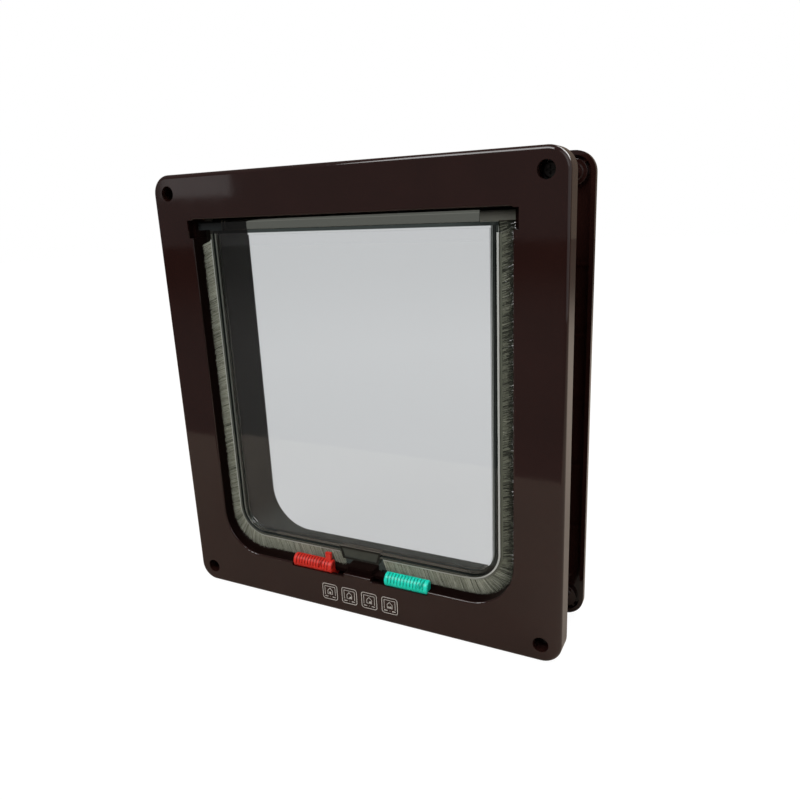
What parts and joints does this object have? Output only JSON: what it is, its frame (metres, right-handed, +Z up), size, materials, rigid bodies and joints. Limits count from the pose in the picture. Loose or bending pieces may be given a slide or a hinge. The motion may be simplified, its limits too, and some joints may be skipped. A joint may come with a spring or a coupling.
{
  "type": "cat flap",
  "caption": "Cat flap with two screwed frames, a tunnel, a clear swinging flap with a pile seal and sliding locks for each direction.",
  "frame": {"origin": "middle of the bottom edge, halfway between the inside and the outside face", "axes": "+Z up, +Y towards the outside of the door, +X to the right seen from inside"},
  "size_m": [0.235, 0.055, 0.25],
  "materials": {
    "frame_plastic": "gloss dark brown moulded plastic",
    "flap_plastic": "smoke-tinted clear plastic, polished",
    "brush_base": "pale grey extruded strip",
    "brush_pile": "dense short grey-green pile",
    "black_plastic": "matt black moulded plastic",
    "red_plastic": "satin red moulded plastic",
    "green_plastic": "satin sea-green moulded plastic",
    "steel": "bright zinc-plated steel",
    "magnet": "dark sintered magnet"
  },
  "bodies": {
    "housing": {"inner_frame": "frame_plastic", "outer_frame": "frame_plastic", "lock_cover": "frame_plastic", "pivot_bush_left": "black_plastic", "pivot_bush_right": "black_plastic", "sill_magnet": "magnet", "cover_screw_left": "steel", "cover_screw_right": "steel", "fixing_screw_top_left": "steel", "fixing_screw_top_right": "steel", "fixing_screw_bottom_left": "steel", "fixing_screw_bottom_right": "steel"},
    "flap": {"flap_pane": "flap_plastic", "brush_backing_left": "brush_base", "brush_backing_right": "brush_base", "brush_pile_left": "brush_pile", "brush_pile_right": "brush_pile", "flap_magnet": "magnet", "magnet_holder": "flap_plastic", "magnet_cap": "flap_plastic", "pivot_pin_left": "steel", "pivot_pin_right": "steel"},
    "red_lock": {"red_lock": "red_plastic"},
    "green_lock": {"green_lock": "green_plastic"}
  },
  "joints": [
    {"name": "flap_swing", "type": "hinge", "parent": "housing", "child": "flap", "pos_m": [0, -0.02, 0.2219], "axis": [1, 0, 0], "range_deg": [-80, 80], "deforming": ["brush_pile_left", "brush_pile_right"]},
    {"name": "red_lock_slide", "type": "slide", "parent": "housing", "child": "red_lock", "axis": [1, 0, 0], "range_m": [0, 0.0082]},
    {"name": "green_lock_slide", "type": "slide", "parent": "housing", "child": "green_lock", "axis": [-1, 0, 0], "range_m": [0, 0.0082]}
  ]
}
